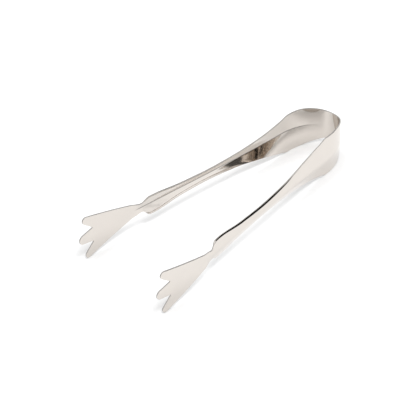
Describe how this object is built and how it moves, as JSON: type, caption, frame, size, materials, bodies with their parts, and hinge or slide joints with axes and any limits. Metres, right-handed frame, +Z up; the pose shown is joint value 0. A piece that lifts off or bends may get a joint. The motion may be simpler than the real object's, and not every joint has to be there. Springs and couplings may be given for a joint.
{
  "type": "ice tongs",
  "caption": "Small one-piece spring ice tongs: a creased polished-steel strip bent round a rounded bow, with a flared claw on the end of each arm.",
  "frame": {"origin": "centre of the bow's end curve, half way up the strip's width", "axes": "+X from the bow towards the claws along the line half way between the arms, +Y towards the left arm, +Z up along the strip's width, the tongs lying on their long edges"},
  "size_m": [0.1699, 0.0612, 0.028],
  "materials": {
    "stainless": "mirror-polished stainless sheet with fine polishing lines and sheared edges left plain"
  },
  "bodies": {
    "bow_crown": {"bow_crown": "stainless"},
    "left_bow_shoulder": {"left_bow_shoulder": "stainless"},
    "right_bow_shoulder": {"right_bow_shoulder": "stainless"},
    "left_arm": {"left_arm": "stainless", "left_claw": "stainless"},
    "right_arm": {"right_arm": "stainless", "right_claw": "stainless"}
  },
  "joints": [
    {"name": "left_bow_bend", "type": "hinge", "parent": "bow_crown", "child": "left_bow_shoulder", "pos_m": [-0.00688, 0.00642, 0], "axis": [0, 0, -1], "range_deg": [0, 8], "stiffness_Nm_per_rad": 10.6},
    {"name": "left_arm_bend", "type": "hinge", "parent": "left_bow_shoulder", "child": "left_arm", "pos_m": [0.03216, 0.01589, 0], "axis": [0, 0, -1], "range_deg": [0, 2.8], "stiffness_Nm_per_rad": 17.9},
    {"name": "right_bow_bend", "type": "hinge", "parent": "bow_crown", "child": "right_bow_shoulder", "pos_m": [-0.00688, -0.00642, 0], "axis": [0, 0, 1], "range_deg": [0, 8], "stiffness_Nm_per_rad": 10.6},
    {"name": "right_arm_bend", "type": "hinge", "parent": "right_bow_shoulder", "child": "right_arm", "pos_m": [0.03216, -0.01589, 0], "axis": [0, 0, 1], "range_deg": [0, 2.8], "stiffness_Nm_per_rad": 17.9}
  ],
  "couplings": [
    {"joint": "left_arm_bend", "follows": "left_bow_bend", "ratio": 0.35},
    {"joint": "right_arm_bend", "follows": "right_bow_bend", "ratio": 0.35}
  ]
}
